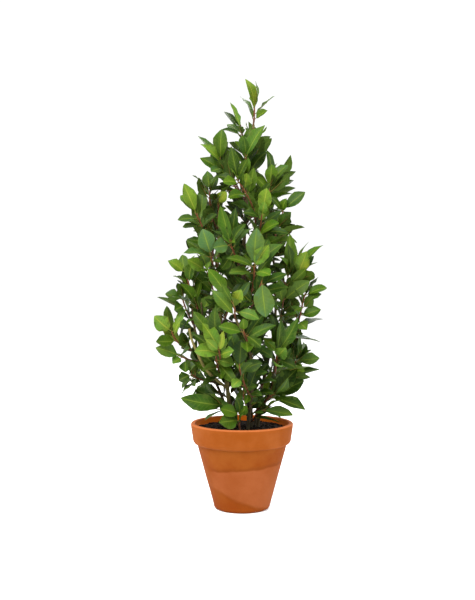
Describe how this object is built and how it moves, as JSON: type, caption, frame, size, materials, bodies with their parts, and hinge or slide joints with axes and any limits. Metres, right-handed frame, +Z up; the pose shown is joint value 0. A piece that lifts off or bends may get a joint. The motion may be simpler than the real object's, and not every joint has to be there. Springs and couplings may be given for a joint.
{
  "type": "potted bay laurel",
  "caption": "Bay laurel grown as a tall loose pyramid of leafy shoots on woody stems, standing in soil in a tapered terracotta pot with a rim band and a drain hole.",
  "frame": {"origin": "middle of the pot's foot, on the surface it stands on", "axes": "+Z up; -Y is the side that faces the viewer; +X is to the viewer's right"},
  "size_m": [0.3424, 0.2945, 0.8565],
  "materials": {
    "terracotta": "unglazed, matt, with a damp tide line and pale mineral bloom",
    "soil": "moist crumbly potting compost with bark bits",
    "bark": "smooth grey-brown to olive young bark",
    "leaf": "leathery satin leaf with a pale midrib, on red-brown young wood"
  },
  "bodies": {
    "root": {"pot": "terracotta", "pruned_branch": "bark", "pruned_stub": "bark", "shoot_arch": "leaf", "shoot_back_01": "leaf", "shoot_back_02": "leaf", "shoot_back_03": "leaf", "shoot_back_04": "leaf", "shoot_back_05": "leaf", "shoot_back_06": "leaf", "shoot_back_07": "leaf", "shoot_back_08": "leaf", "shoot_back_09": "leaf", "shoot_back_10": "leaf", "shoot_back_11": "leaf", "shoot_back_12": "leaf", "shoot_bottom_centre": "leaf", "shoot_bottom_front": "leaf", "shoot_bottom_left": "leaf", "shoot_bottom_right": "leaf", "shoot_centre": "leaf", "shoot_centre_inner": "leaf", "shoot_centre_left": "leaf", "shoot_centre_low": "leaf", "shoot_centre_low_right": "leaf", "shoot_dark_centre": "leaf", "shoot_front_low": "leaf", "shoot_inner_left": "leaf", "shoot_left_bottom": "leaf", "shoot_left_bright": "leaf", "shoot_left_edge_mid": "leaf", "shoot_left_grey": "leaf", "shoot_left_low_a": "leaf", "shoot_left_low_b": "leaf", "shoot_left_mid": "leaf", "shoot_left_mid_up": "leaf", "shoot_left_top": "leaf", "shoot_left_upper": "leaf", "shoot_mid_right_top": "leaf", "shoot_right_bright": "leaf", "shoot_right_edge_low": "leaf", "shoot_right_edge_mid": "leaf", "shoot_right_mid": "leaf", "shoot_right_mid_low": "leaf", "shoot_right_upper": "leaf", "shoot_rim_right": "leaf", "shoot_top": "leaf", "shoot_top_left": "leaf", "shoot_upper_left": "leaf", "shoot_upper_mid": "leaf", "shoot_upper_right": "leaf", "shoot_yellow": "leaf", "soil": "soil", "stem_back_left": "bark", "stem_back_right": "bark", "stem_far_left": "bark", "stem_front": "bark", "stem_left": "bark", "stem_right": "bark", "trunk": "bark"}
  },
  "joints": []
}
